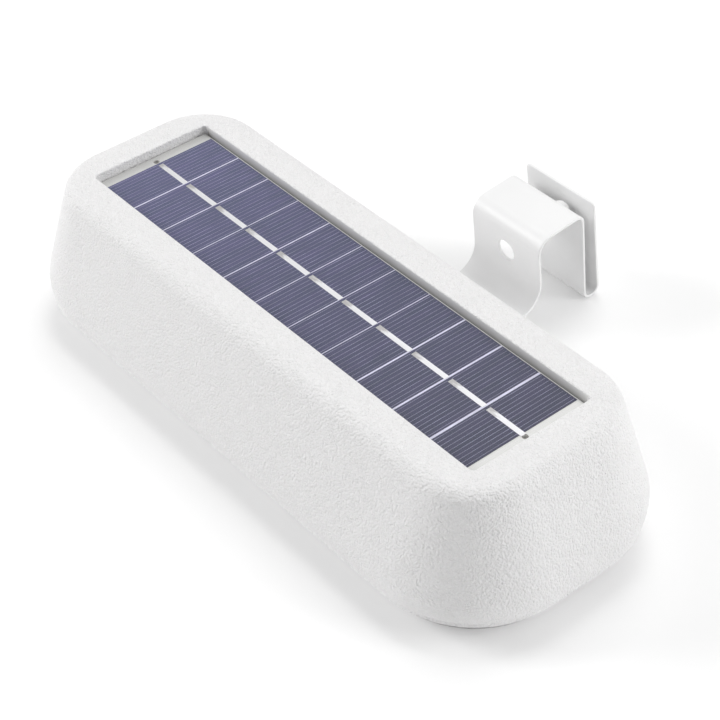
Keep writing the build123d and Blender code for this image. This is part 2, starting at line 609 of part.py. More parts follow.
def make_motion_sensor():
    centre = Pos(MOTION_X, 0, DOME_CENTRE_Z)
    dome = (centre * Sphere(DOME_RADIUS)) & layer(0, DOME_CENTRE_Z)
    dome += post(MOTION_X, 0, MOTION_COLLAR_TOP_Z, DOME_CENTRE_Z + 0.2, DOME_FLANGE_RADIUS)
    dome -= centre * Sphere(DOME_RADIUS - DOME_WALL)
    parts["motion_lens"] = dome
    parts["motion_sensor"] = post(MOTION_X, 0, MOTION_BOARD_Z - 4.2, MOTION_BOARD_Z, 4.6)
    parts["motion_board"] = post(MOTION_X, 0, MOTION_BOARD_Z, MOTION_BOARD_Z + MOTION_BOARD_THICKNESS,
                                 DOME_FLANGE_RADIUS)
    spacer = tube(MOTION_X, 0, DOME_CENTRE_Z + 0.2, MOTION_BOARD_Z, 12.6, 9.4)
    parts["motion_spacer"] = spacer


# ---------------------------------------------------------------- buttons and ports
def push_button(y, radius):
    button = post(CONTROL_X, y, BUTTON_FACE_Z, BUTTON_TOP_Z, radius)
    button = fillet(button.edges().group_by(Axis.Z)[0], 0.4)
    button += post(CONTROL_X, y, FLOOR + 0.05, BUTTON_TOP_Z, radius + BUTTON_FLANGE)
    return button + post(CONTROL_X, y, BUTTON_TOP_Z, STEM_TOP_Z, STEM_RADIUS)


def make_controls():
    parts["power_button"] = push_button(POWER_BUTTON_Y, POWER_BUTTON_RADIUS)
    parts["reset_button"] = push_button(RESET_BUTTON_Y, RESET_BUTTON_RADIUS)
    switches = []
    for y in (POWER_BUTTON_Y, RESET_BUTTON_Y):
        switches.append(tile(CONTROL_X, y, SWITCH_BOTTOM_Z + 0.6, BUTTON_BOARD_Z, 6.0, 6.0)
                        + post(CONTROL_X, y, SWITCH_BOTTOM_Z, SWITCH_BOTTOM_Z + 0.6, 1.7))
    parts["tact_switches"] = Compound(switches)
    board = slab(CONTROL_X - 8.5, CONTROL_X + 6.2, -31, 30, BUTTON_BOARD_Z,
                 BUTTON_BOARD_Z + BUTTON_BOARD_THICKNESS)
    parts["button_board"] = board
    guide = post(CONTROL_X, STATUS_LIGHT_Y, 0.3, BUTTON_BOARD_Z - 0.8, 1.5)
    parts["status_light_guide"] = guide + post(CONTROL_X, STATUS_LIGHT_Y, FLOOR, FLOOR + 0.8, 2.6)
    parts["status_light"] = tile(CONTROL_X, STATUS_LIGHT_Y, BUTTON_BOARD_Z - 0.8, BUTTON_BOARD_Z, 1.6, 1.6)
    parts["microphone"] = post(CONTROL_X, MICROPHONE_Y, FLOOR, BUTTON_BOARD_Z, 2.6)


def make_ports():
    x = CONTROL_X + PORT_X_OFFSET
    usb_y = PORT_Y + USB_Y_OFFSET
    shell = tile(x, usb_y, FLAP_POCKET_Z + 0.2, BUTTON_BOARD_Z, 8.9, 3.2, 1.5)
    shell -= tile(x, usb_y, 0, BUTTON_BOARD_Z - 1.0, 8.3, 2.6, 1.2)
    parts["usb_socket"] = shell + tile(x, usb_y, FLAP_POCKET_Z + 1.0, BUTTON_BOARD_Z - 0.5, 6.6, 0.7)
    card_y = PORT_Y + CARD_Y_OFFSET
    frame = tile(x, card_y, FLOOR + 0.1, BUTTON_BOARD_Z, 13.6, 3.0)
    frame -= tile(x, card_y, FLOOR - 1, BUTTON_BOARD_Z + 1, 11.2, 0.9)
    parts["card_socket"] = frame
    parts["memory_card"] = tile(x, card_y, FLAP_POCKET_Z + 0.5, BUTTON_BOARD_Z, 11.0, 0.7, 0.3)

    flap = tile(CONTROL_X, PORT_Y, FLAP_BOTTOM_Z, FLAP_TOP_Z, FLAP_LENGTH, FLAP_WIDTH)
    corner_edges = flap.edges().filter_by(Axis.Z).sort_by(Axis.X)[-2:]
    flap = fillet(corner_edges, 2.0)
    barrel_x = CONTROL_X - FLAP_LENGTH / 2
    barrel = Pos(barrel_x + FLAP_PIVOT_RADIUS, PORT_Y, FLAP_BOTTOM_Z + FLAP_PIVOT_RADIUS)
    barrel *= Rot(90, 0, 0) * Cylinder(FLAP_PIVOT_RADIUS, FLAP_WIDTH)
    flap -= slab(barrel_x - 1, barrel_x + FLAP_PIVOT_RADIUS, -40, 40, 0, 3)
    parts["port_flap"] = flap + barrel


# ---------------------------------------------------------------- boards, battery and leads
def make_main_board():
    board_top = BOARD_Z + 1.6
    board = tile(BOARD_X, 0, BOARD_Z, board_top, BOARD_LENGTH, BOARD_WIDTH, 2.0)
    screws = []
    for x, y in BOARD_POSTS:
        board -= post(x, y, BOARD_Z - 1, board_top + 1, 1.3)
        screws.append(post(x, y, BOARD_Z, board_top + 5, 0.95) + post(x, y, BOARD_Z - 1.6, BOARD_Z, 2.3))
    parts["main_board"] = board
    parts["board_screws"] = Compound(screws)
    parts["processor_shield"] = tile(66, 4, BOARD_Z - 2.6, BOARD_Z, 20, 20, 1.0)
    parts["radio_module"] = tile(93, -4, BOARD_Z - 2.4, BOARD_Z, 18, 13)
    chips = [tile(66 + 8 * step, -14, BOARD_Z - 1.2, BOARD_Z, 6, 5) for step in range(3)]
    parts["memory_chips"] = Compound(chips)
    cans = [post(88 + 8 * step, 13, BOARD_Z - 7.0, BOARD_Z, 3.1) for step in range(2)]
    parts["capacitors"] = Compound(cans)
    sockets = [tile(48, y, board_top, board_top + 5, 6, 9) for y in (-6, 6)]
    parts["lead_sockets"] = Compound(sockets)
    aerial = slab(84, 104, -9.6, -9, board_top, board_top + 7)
    parts["antenna"] = aerial + slab(84, 104, -9.6, -4, board_top + 7, board_top + 7.6)


def make_battery():
    half = BATTERY_LENGTH / 2
    cells = []
    tray = slab(BATTERY_X - half - 3, BATTERY_X + half + 3, -22, 22, HOLDER_BASE_Z, BATTERY_Z)
    for side in (-1, 1):
        lying = Pos(BATTERY_X, side * BATTERY_Y, BATTERY_Z) * Rot(0, 90, 0)
        cell = lying * Cylinder(BATTERY_RADIUS, BATTERY_LENGTH - 1.4)
        cells.append(cell + lying * Cylinder(2.8, BATTERY_LENGTH))
        tray -= lying * Cylinder(BATTERY_RADIUS + 0.1, BATTERY_LENGTH + 0.6)
    for x, y in HOLDER_POSTS:
        low, high = sorted((0.7 * y, y))
        ear = slab(x - 4, x + 4, low, high, HOLDER_BASE_Z, HOLDER_BASE_Z + 5)
        ear += post(x, y, HOLDER_BASE_Z, HOLDER_BASE_Z + 5, 4.0)
        tray += ear
        tray -= post(x, y, HOLDER_BASE_Z - 1, HOLDER_BASE_Z + 6, 1.3)
    parts["battery_cells"] = Compound(cells)
    parts["battery_holder"] = tray
    screws = [post(x, y, HOLDER_BASE_Z, BATTERY_Z, 0.95) + post(x, y, HOLDER_BASE_Z - 1.6, HOLDER_BASE_Z, 2.3)
              for x, y in HOLDER_POSTS]
    parts["holder_screws"] = Compound(screws)


def make_leads():
    socket_top = BOARD_Z + 6.6
    panel_leads = []
    battery_leads = []
    for side in (-1, 1):
        hole_x = PANEL_HOLE[0] + 1.2 * side
        panel_leads.append(wire([(hole_x, 0, BOARD_BASE_Z), (hole_x, 0, socket_top + 4),
                                 (48, 6 + side, socket_top + 8), (48, 6 + side, socket_top)]))
        battery_leads.append(wire([(-38.5, -6 + 1.5 * side, 36), (-20, -6 + 1.5 * side, 36),
                                   (20, -6 + side, socket_top + 9), (48, -6 + side, socket_top + 9),
                                   (48, -6 + side, socket_top)]))
    parts["panel_leads"] = Compound(panel_leads)
    parts["battery_leads"] = Compound(battery_leads)


def make_speaker():
    x, y = SPEAKER_PLACE
    speaker = post(x, y, FLOOR, FLOOR + 4.0, SPEAKER_RADIUS)
    parts["speaker"] = speaker + post(x, y, FLOOR + 4.0, FLOOR + 6.4, 0.55 * SPEAKER_RADIUS)


def main():
    outer = housing_body(0)
    make_upper_housing(outer)
    make_base_cover(outer)
    make_housing_fixings()
    make_panel()
    make_hook_bracket()
    make_bracket_fixings()
    make_pan_ring()
    make_ring_retainer()
    make_camera_head()
    make_lamps()
    make_motion_sensor()
    make_controls()
    make_ports()
    make_main_board()
    make_battery()
    make_leads()
    make_speaker()
    os.makedirs("parts", exist_ok=True)
    for name, shape in parts.items():
        export_step(shape, f"parts/{name}.step")


main()
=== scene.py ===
import json
import math
import bmesh
import bpy
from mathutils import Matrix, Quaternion, Vector


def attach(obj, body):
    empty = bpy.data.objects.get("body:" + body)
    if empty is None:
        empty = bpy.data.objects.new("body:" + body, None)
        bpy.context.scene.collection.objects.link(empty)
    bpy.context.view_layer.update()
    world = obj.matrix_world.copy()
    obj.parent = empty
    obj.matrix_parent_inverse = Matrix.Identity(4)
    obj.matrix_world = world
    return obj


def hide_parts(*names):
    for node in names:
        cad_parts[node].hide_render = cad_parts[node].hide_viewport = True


# The looks of a solar-powered security camera: grained white housing, solar panel,
# powder-coated hook bracket, and the camera, lamps and motion sensor underneath.
# Every length below is in millimetres and is turned into metres by MM, apart from those
# of the lights and the floor, which are in metres.
MM = 0.001

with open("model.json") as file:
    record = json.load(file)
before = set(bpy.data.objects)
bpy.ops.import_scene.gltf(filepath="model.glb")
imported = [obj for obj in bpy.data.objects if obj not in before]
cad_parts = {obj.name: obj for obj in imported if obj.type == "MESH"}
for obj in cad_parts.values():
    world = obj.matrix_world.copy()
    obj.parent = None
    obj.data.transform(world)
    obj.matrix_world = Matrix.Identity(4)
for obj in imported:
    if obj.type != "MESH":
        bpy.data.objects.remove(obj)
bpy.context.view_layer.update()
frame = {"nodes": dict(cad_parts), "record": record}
nodes = frame["nodes"]

# ---------------------------------------------------------------- view
CAMERA_PLACE = (450.7, -338.6, 507.8)
CAMERA_TARGET = (14.0, 4.4, 30.0)
CAMERA_ROLL = -2.2
CAMERA_LENS = 97.4
SENSOR = 36.0

# ---------------------------------------------------------------- housing
HOUSING_HEIGHT = 63.0
PARTING_Z = 5.0
BASE_HALF = (146.4, 62.5)
BASE_CORNER = 50.0
TOP_HALF = (126.4, 41.8)
TOP_CORNER = 24.4
TOP_ROUNDING = 7.0
BOTTOM_ROUNDING = 18.2
WALL = 2.6
CEILING_Z = 54.6
INNER_STEP = 6.0               # above the parting line, where the wall starts to thicken downwards
RECESS_HALF = (111.6, 27.1)
RECESS_CORNER = 1.6
RECESS_FLOOR_Z = 57.0
RIM_ROUND = 0.6
FOOT_RING = 1.5                # an extra ring of the recess wall, this far above its foot

# ---------------------------------------------------------------- solar panel
CELL_PITCH = 19.5
CELL_COUNT = 11
CELL_HALF_WIDTH = 26.0
CELL_TOP_Z = 59.3
FINGERS_PER_CELL = 10
FINGER_WIDTH = 0.14
FINGER_HEIGHT = 0.02
FINGER_END = 0.5
RIBBON_HALF = 1.0
CELL_THICKNESS = 0.2
SEALANT_DEPTH = 0.15
SEALANT_PROUD = 0.01
PAD_X = 107.9
PAD_RADIUS = 1.2
PAD_HOLE_RADIUS = 0.8
PAD_INNER_HEIGHT = 0.06
PAD_HEIGHT = 0.07
PAD_BEVEL = 0.1
WALL_SHADOW_START = 8.0               # the painted shadow of the far wall on the board starts this far before its pad

# ---------------------------------------------------------------- smoothness
ARC_STEPS = 20                 # in each corner of an outline
SIDE_STEPS = (48, 16)          # along its long and short sides
PROFILE_STEPS = 14             # round the top and bottom edges
SLOPE_STEPS = 6                # up the sloping wall
RIM_STEPS = 6                  # round the rim of the recess
TOP_SHARES = (0.1, 0.5, 0.9, 1.0)   # rings over the flat top, from its outer edge to the rim
PAD_STEP = 15                  # degrees
SHARP_ANGLE = 50               # edges sharper than this aren't smoothed

# ---------------------------------------------------------------- lights and floor
LIGHT_AIM = (0.0, 0.0, 0.03)
WORLD_STRENGTH = 0.36
FLOOR_HALF = 6.0
FLOOR_GLOW = 0.1               # lifts the floor to the white of a photographer's sweep


# ---------------------------------------------------------------- making meshes
def new_object(name, mesh, body, material, smooth=True):
    """Puts a finished mesh into the scene, riding on a body."""
    piece = bpy.data.objects.new(name, mesh)
    bpy.context.scene.collection.objects.link(piece)
    mesh.materials.append(material)
    for polygon in mesh.polygons:
        polygon.use_smooth = smooth
    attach(piece, body)
    return piece


def mesh_from_bmesh(name, bm, merge=0.0):
    """Ends the editing of a mesh, joining points closer than merge metres."""
    if merge:
        bmesh.ops.remove_doubles(bm, verts=bm.verts, dist=merge)
    bmesh.ops.recalc_face_normals(bm, faces=bm.faces)
    mesh = bpy.data.meshes.new(name)
    bm.to_mesh(mesh)
    bm.free()
    return mesh


def rounded_outline(half_length, half_width, corner):
    """Points of a rounded rectangle, the same number for every size."""
    points = []
    centres = ((1, -1, -90), (1, 1, 0), (-1, 1, 90), (-1, -1, 180))
    for side_x, side_y, start in centres:
        centre = Vector((side_x * (half_length - corner), side_y * (half_width - corner)))
        for step in range(ARC_STEPS + 1):
            turn = math.radians(start + 90 * step / ARC_STEPS)
            points.append(centre + corner * Vector((math.cos(turn), math.sin(turn))))
    outline = []
    per_side = ARC_STEPS + 1
    for corner_index in range(4):
        outline.extend(points[corner_index * per_side:(corner_index + 1) * per_side])
        first = outline[-1]
        second = points[((corner_index + 1) * per_side) % len(points)]
        steps = SIDE_STEPS[0] if corner_index % 2 else SIDE_STEPS[1]
        for step in range(1, steps):
            outline.append(first.lerp(second, step / steps))
    return outline


def skin_rings(bm, rings):
    """Joins rings of points, each an outline and a height, with quads."""
    loops = []
    for outline, height in rings:
        loops.append([bm.verts.new((p.x * MM, p.y * MM, height * MM)) for p in outline])
    for low, high in zip(loops, loops[1:]):
        for index in range(len(low)):
            after = (index + 1) % len(low)
            bm.faces.new((low[index], low[after], high[after], high[index]))
    return loops


def housing_outline(height, inset):
    """The housing's plan outline at a height, shrunk sideways by inset."""
    share = height / HOUSING_HEIGHT
    sizes = [low + (high - low) * share - inset for low, high in zip(BASE_HALF, TOP_HALF)]
    corner = BASE_CORNER + (TOP_CORNER - BASE_CORNER) * share - inset
    return rounded_outline(sizes[0], sizes[1], max(corner, 1.0))


def housing_profile():
    """Heights and insets up the outside of the housing, with both edges rounded."""
    lean = math.atan((BASE_HALF[1] - TOP_HALF[1]) / HOUSING_HEIGHT)
    slope = math.tan(lean)
    profile = []
    spread = BOTTOM_ROUNDING / math.tan((math.pi / 2 - lean) / 2)
    lowest = math.asin(PARTING_Z / BOTTOM_ROUNDING - 1)
    for step in range(PROFILE_STEPS + 1):
        turn = lowest + (lean - lowest) * step / PROFILE_STEPS
        height = BOTTOM_ROUNDING * (1 + math.sin(turn))
        out = -spread + BOTTOM_ROUNDING * math.cos(turn)
        profile.append((height, -slope * height - out))
    tangent = TOP_ROUNDING * math.tan((math.pi / 2 - lean) / 2)
    start = HOUSING_HEIGHT - TOP_ROUNDING + TOP_ROUNDING * math.sin(lean)
    bottom = profile[-1][0]
    for step in range(1, SLOPE_STEPS):
        profile.append((bottom + (start - bottom) * step / SLOPE_STEPS, 0.0))
    for step in range(PROFILE_STEPS + 1):
        turn = lean + (math.pi / 2 - lean) * step / PROFILE_STEPS
        height = HOUSING_HEIGHT - TOP_ROUNDING + TOP_ROUNDING * math.sin(turn)
        out = -slope * HOUSING_HEIGHT - tangent + TOP_ROUNDING * math.cos(turn)
        profile.append((height, -slope * height - out))
    return profile


def make_housing(material, wall_shade_material):
    """The white shell: rounded outside, panel recess in the top, hollow inside."""
    bm = bmesh.new()
    profile = housing_profile()
    rings = []
    inner = [(PARTING_Z, profile[0][1] + 2 * WALL), (PARTING_Z + INNER_STEP, 1.6 * WALL), (CEILING_Z, WALL)]
    for height, inset in reversed(inner):
        rings.append((housing_outline(height, inset), height))
    for height, inset in profile:
        rings.append((housing_outline(height, inset), height))
    flat_inset = profile[-1][1]
    top = housing_outline(HOUSING_HEIGHT, flat_inset)
    rim_outer = rounded_outline(RECESS_HALF[0] + RIM_ROUND, RECESS_HALF[1] + RIM_ROUND,
                                RECESS_CORNER + RIM_ROUND)
    for share in TOP_SHARES:
        rings.append(([a.lerp(b, share) for a, b in zip(top, rim_outer)], HOUSING_HEIGHT))
    for step in range(1, RIM_STEPS + 1):
        turn = math.pi / 2 * step / RIM_STEPS
        back = RIM_ROUND * (1 - math.sin(turn))
        drop = RIM_ROUND * (1 - math.cos(turn))
        rings.append((rounded_outline(RECESS_HALF[0] + back, RECESS_HALF[1] + back,
                                      RECESS_CORNER + back), HOUSING_HEIGHT - drop))
    recess = rounded_outline(RECESS_HALF[0], RECESS_HALF[1], RECESS_CORNER)
    rings.append((recess, RECESS_FLOOR_Z + FOOT_RING))
    rings.append((recess, RECESS_FLOOR_Z))
    loops = skin_rings(bm, rings)
    bm.faces.new(loops[0])
    bm.faces.new(loops[-1])
    # The long walls of the recess take the second material, whose colour is painted shade, darker towards
    # their foot.
    for face in bm.faces:
        middle = face.calc_center_median() / MM
        along_side = abs(middle.x) < RECESS_HALF[0] - RECESS_CORNER
        in_recess = abs(middle.y) < RECESS_HALF[1] + RIM_ROUND
        on_wall = RECESS_FLOOR_Z < middle.z < HOUSING_HEIGHT - 0.5 * RIM_ROUND
        if along_side and in_recess and on_wall:
            face.material_index = 1
    shell = new_object("housing_shell", mesh_from_bmesh("housing_shell", bm), "housing",
                       material)
    shell.data.materials.append(wall_shade_material)
    edges = shell.modifiers.new("edges", "EDGE_SPLIT")
    edges.split_angle = math.radians(SHARP_ANGLE)
    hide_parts("upper_housing")
    return shell


def add_block(bm, low, high):
    """A closed box given by its low and high corners."""
    corners = [bm.verts.new((x * MM, y * MM, z * MM))
               for z in (low[2], high[2]) for y in (low[1], high[1]) for x in (low[0], high[0])]
    for face in ((0, 2, 3, 1), (4, 5, 7, 6), (0, 1, 5, 4), (2, 6, 7, 3), (0, 4, 6, 2), (1, 3, 7, 5)):
        bm.faces.new([corners[index] for index in face])


def cell_edges():
    """The low and high X of every cell, read from the CAD mesh of the cells."""
    mesh = nodes["solar_cells"].data
    edges = sorted({round(v.co.x / MM, 2) for v in mesh.vertices})
    return list(zip(edges[0::2], edges[1::2]))


def make_fingers(material):
    """The fine printed lines that collect the current, across every cell."""
    bm = bmesh.new()
    for low, high in cell_edges():
        step = (high - low) / FINGERS_PER_CELL
        for index in range(FINGERS_PER_CELL):
            x = low + (index + 0.5) * step
            reach = CELL_HALF_WIDTH - FINGER_END
            for y_low, y_high in ((-reach, -RIBBON_HALF), (RIBBON_HALF, reach)):
                add_block(bm, (x - FINGER_WIDTH / 2, y_low, CELL_TOP_Z),
                          (x + FINGER_WIDTH / 2, y_high, CELL_TOP_Z + FINGER_HEIGHT))
    mesh = mesh_from_bmesh("cell_fingers", bm)
    return new_object("cell_fingers", mesh, "housing", material, smooth=False)


def make_gap_lines(material):
    """The white sealant that fills the gaps between the cells."""
    bm = bmesh.new()
    edges = cell_edges()
    for (_, low), (high, _) in zip(edges, edges[1:]):
        add_block(bm, (low, -CELL_HALF_WIDTH, CELL_TOP_Z - SEALANT_DEPTH),
                  (high, CELL_HALF_WIDTH, CELL_TOP_Z + SEALANT_PROUD))
    mesh = mesh_from_bmesh("cell_gap_sealant", bm)
    return new_object("cell_gap_sealant", mesh, "housing", material, smooth=False)


def make_solder_pads(material):
    """The tinned ring around the hole past each end ribbon."""
    bm = bmesh.new()
    base = CELL_TOP_Z - CELL_THICKNESS
    section = ((PAD_HOLE_RADIUS, base), (PAD_HOLE_RADIUS + PAD_BEVEL, base + PAD_INNER_HEIGHT),
               (PAD_RADIUS - 2 * PAD_BEVEL, base + PAD_HEIGHT), (PAD_RADIUS, base))
    turns = [math.radians(turn) for turn in range(0, 360, PAD_STEP)]
    for side in (-1, 1):
        centre = Vector((side * PAD_X, 0))
        rings = []
        for radius, height in section:
            outline = [centre + radius * Vector((math.cos(turn), math.sin(turn))) for turn in turns]
            rings.append((outline, height))
        rings.append(rings[0])
        skin_rings(bm, rings)
    mesh = mesh_from_bmesh("solder_pads", bm, merge=1e-7)
    return new_object("solder_pads", mesh, "housing", material)


# ---------------------------------------------------------------- making materials
class Surface:
    """A material under construction: one Principled shader and its textures."""

    def __init__(self, name, colour, roughness, metallic=0.0):
        self.material = bpy.data.materials.new(name)
        self.material.use_nodes = True
        self.tree = self.material.node_tree
        self.shader = self.tree.nodes["Principled BSDF"]
        self.shader.inputs["Base Color"].default_value = (*colour, 1.0)
        self.shader.inputs["Roughness"].default_value = roughness
        self.shader.inputs["Metallic"].default_value = metallic
        self.colour = colour
        self.roughness = roughness
        self.place = self.tree.nodes.new("ShaderNodeTexCoord").outputs["Object"]
        self.last_normal = None

    def node(self, kind, **settings):
        """A new node with these settings."""
        made = self.tree.nodes.new(kind)
        for key, value in settings.items():
            setattr(made, key, value)
        return made

    def link(self, start, end):
        self.tree.links.new(start, end)

    def noise(self, size, detail=4.0, stretch=(1.0, 1.0, 1.0)):
        """Cloudy noise whose lumps are about size millimetres across."""
        texture = self.node("ShaderNodeTexNoise")
        texture.inputs["Scale"].default_value = 1.0 / (size * MM)
        texture.inputs["Detail"].default_value = detail
        mapping = self.node("ShaderNodeMapping")
        mapping.inputs["Scale"].default_value = stretch
        self.link(self.place, mapping.inputs["Vector"])
        self.link(mapping.outputs["Vector"], texture.inputs["Vector"])
        return texture.outputs["Fac"]

    def pebbles(self, size, smoothness=0.6):
        """Rounded cells about size millimetres across, slightly warped."""
        wave = size / 0.7
        push = 0.35 * size
        warp = self.node("ShaderNodeTexNoise")
        warp.inputs["Scale"].default_value = 1.0 / (wave * MM)
        self.link(self.place, warp.inputs["Vector"])
        bend = self.node("ShaderNodeMixRGB", blend_type="LINEAR_LIGHT")
        bend.inputs["Fac"].default_value = push * MM
        self.link(self.place, bend.inputs["Color1"])
        self.link(warp.outputs["Color"], bend.inputs["Color2"])
        texture = self.node("ShaderNodeTexVoronoi", feature="SMOOTH_F1")
        texture.inputs["Scale"].default_value = 1.0 / (size * MM)
        texture.inputs["Smoothness"].default_value = smoothness
        self.link(bend.outputs["Color"], texture.inputs["Vector"])
        return texture.outputs["Distance"]

    def ramp(self, value, low, high, start=0.3, end=0.7):
        """A value turned into a colour between two colours."""
        ramp = self.node("ShaderNodeValToRGB")
        ramp.color_ramp.elements[0].position = start
        ramp.color_ramp.elements[0].color = (*low, 1.0)
        ramp.color_ramp.elements[1].position = end
        ramp.color_ramp.elements[1].color = (*high, 1.0)
        self.link(value, ramp.inputs["Fac"])
        return ramp.outputs["Color"]

    def spread(self, value, low, high):
        """A value from 0 to 1 turned into a number between two numbers."""
        scale = self.node("ShaderNodeMapRange")
        scale.inputs["To Min"].default_value = low
        scale.inputs["To Max"].default_value = high
        self.link(value, scale.inputs["Value"])
        return scale.outputs["Result"]

    def distance(self, axis):
        """How far along an axis of the object a point lies."""
        parts = self.node("ShaderNodeSeparateXYZ")
        self.link(self.place, parts.inputs["Vector"])
        return parts.outputs[axis]

    def along(self, axis, low, high):
        """0 at low and 1 at high, in millimetres along an axis."""
        share = self.node("ShaderNodeMapRange")
        share.inputs["From Min"].default_value = low * MM
        share.inputs["From Max"].default_value = high * MM
        self.link(self.distance(axis), share.inputs["Value"])
        return share.outputs["Result"]

    def wander(self, value, noise, amount):
        """A value with some noise added."""
        total = self.node("ShaderNodeMath", operation="MULTIPLY_ADD")
        self.link(noise, total.inputs[0])
        total.inputs[1].default_value = amount
        self.link(value, total.inputs[2])
        return total.outputs["Value"]

    def paint(self, colour):
        """Uses a node's colour as the surface's colour."""
        self.link(colour, self.shader.inputs["Base Color"])

    def vary_colour(self, size, amount, stretch=(1.0, 1.0, 1.0)):
        """Makes the colour a little lighter and darker in patches."""
        dark = tuple(c * (1 - amount) for c in self.colour)
        light = tuple(min(1.0, c * (1 + amount)) for c in self.colour)
        self.paint(self.ramp(self.noise(size, stretch=stretch), dark, light))

    def vary_roughness(self, size, amount, stretch=(1.0, 1.0, 1.0)):
        """Makes the surface a little duller and glossier in patches."""
        low = max(0.0, self.roughness - amount)
        high = min(1.0, self.roughness + amount)
        patches = self.spread(self.noise(size, stretch=stretch), low, high)
        self.link(patches, self.shader.inputs["Roughness"])

    def bump(self, value, height, invert=False):
        """Relief of about height millimetres, on top of any earlier relief."""
        bump = self.node("ShaderNodeBump", invert=invert)
        bump.inputs["Strength"].default_value = 1.0
        bump.inputs["Distance"].default_value = height * MM
        self.link(value, bump.inputs["Height"])
        if self.last_normal:
            self.link(self.last_normal, bump.inputs["Normal"])
        self.last_normal = bump.outputs["Normal"]
        self.link(self.last_normal, self.shader.inputs["Normal"])

    def gloss(self, coat, coat_roughness, specular):
        """A clear coat over the surface, and how strongly the surface itself shines."""
        self.shader.inputs["Coat Weight"].default_value = coat
        self.shader.inputs["Coat Roughness"].default_value = coat_roughness
        self.shader.inputs["Specular IOR Level"].default_value = specular


def moulded(name, colour, roughness, grain=0.5, height=0.02):
    """Moulded plastic or rubber with a faint skin."""
    made = Surface(name, colour, roughness)
    made.vary_colour(18, 0.03)
    made.vary_roughness(6, 0.06)
    made.bump(made.noise(grain, detail=2), height)
    return made.material


def metal(name, colour, roughness, brushed=(1.0, 1.0, 1.0), height=0.004):
    """Bare metal; a larger number in brushed packs its streaks closer along that axis."""
    made = Surface(name, colour, roughness, metallic=1.0)
    made.vary_colour(4, 0.08, stretch=brushed)
    made.vary_roughness(2, 0.1, stretch=brushed)
    made.bump(made.noise(0.5, stretch=brushed), height)
    return made.material


def clear(name, colour, roughness, transmission, grain=1.0, height=0.0):
    """Clear or frosted plastic or glass."""
    made = Surface(name, colour, roughness)
    made.shader.inputs["Transmission Weight"].default_value = transmission
    made.vary_colour(10, 0.02)
    if height:
        made.bump(made.noise(grain), height)
    return made.material


def grained_plastic(name):
    """White plastic with a fine leather grain, a little darker in its creases."""
    made = Surface(name, (0.875, 0.868, 0.87), 0.5)
    made.vary_colour(0.45, 0.05)
    made.vary_roughness(12, 0.05)
    made.bump(made.pebbles(0.9, 0.35), 0.4, invert=True)
    made.bump(made.noise(0.45, detail=2), 0.32)
    return made.material


def recess_wall_painted_shade():
    """The smooth wall along the panel's long sides, darker towards its foot by painted shade."""
    made = Surface("recess_wall_painted_shade", (0.6, 0.598, 0.58), 0.45)
    # Painted shade: the colour runs from dark grey at the wall's foot to light grey at its top.
    cloud = made.noise(4, stretch=(0.6, 1.0, 1.0))
    height = made.wander(made.along("Z", CELL_TOP_Z, HOUSING_HEIGHT), cloud, 0.16)
    made.paint(made.ramp(height, (0.4, 0.397, 0.39), (0.78, 0.777, 0.765), 0.08, 0.9))
    made.bump(made.noise(1.5), 0.03)
    return made.material


def powder_coat():
    """White powder coat with its faint orange peel."""
    made = Surface("white_powder_coat", (0.85, 0.85, 0.85), 0.42)
    made.vary_colour(25, 0.02)
    made.vary_roughness(5, 0.05)
    made.bump(made.noise(1.1, detail=1), 0.03)
    return made.material


def solar_cell():
    """Violet-grey silicon under a milky film, with a painted reflection that leaves it darker towards the
    panel's right end.
    """
    dark = (0.074, 0.087, 0.17)
    light = (0.102, 0.098, 0.217)
    made = Surface("solar_cell", dark, 0.4)
    bands = made.ramp(made.noise(2.4, detail=3, stretch=(1.0, 0.12, 1.0)), dark, light)
    # Painted reflection: the cells' colour is multiplied from 1.0 at the left end down to 0.42 at the right
    # end.
    reach = made.along("X", -RECESS_HALF[0], RECESS_HALF[0])
    painted_reflection_ramp = made.ramp(reach, (1.0, 1.0, 1.0), (0.42, 0.42, 0.42), 0.0, 1.0)
    cells_with_painted_reflection = made.node("ShaderNodeMixRGB", blend_type="MULTIPLY")
    cells_with_painted_reflection.inputs["Fac"].default_value = 1.0
    made.link(bands, cells_with_painted_reflection.inputs["Color1"])
    made.link(painted_reflection_ramp, cells_with_painted_reflection.inputs["Color2"])
    made.paint(cells_with_painted_reflection.outputs["Color"])
    made.vary_roughness(30, 0.05)
    made.gloss(coat=0.12, coat_roughness=0.2, specular=0.3)
    return made.material


def solder_ribbon():
    """Tinned ribbon: a dull stretch at the start of every cell, then bright."""
    made = Surface("solder_ribbon", (0.82, 0.83, 0.85), 0.42, metallic=0.5)
    cells = made.node("ShaderNodeMath", operation="MULTIPLY_ADD")
    made.link(made.distance("X"), cells.inputs[0])
    cells.inputs[1].default_value = 1.0 / (CELL_PITCH * MM)
    cells.inputs[2].default_value = CELL_COUNT / 2
    share = made.node("ShaderNodeMath", operation="FRACT")
    made.link(cells.outputs["Value"], share.inputs[0])
    reach = made.wander(share.outputs["Value"], made.noise(2.2, stretch=(0.7, 2.0, 1.0)), 0.5)
    made.paint(made.ramp(reach, (0.52, 0.51, 0.51), (0.88, 0.88, 0.9), 0.42, 0.62))
    made.vary_roughness(1.5, 0.12)
    made.bump(made.noise(0.9), 0.05)
    return made.material


def gap_sealant():
    """White sealant seen through the violet film."""
    made = Surface("gap_sealant", (0.68, 0.67, 0.82), 0.4)
    made.vary_colour(6, 0.12)
    return made.material


def cell_finger():
    """Silver print, fainter in places."""
    made = Surface("cell_finger", (0.3, 0.3, 0.42), 0.5)
    made.vary_colour(7, 0.35)
    return made.material


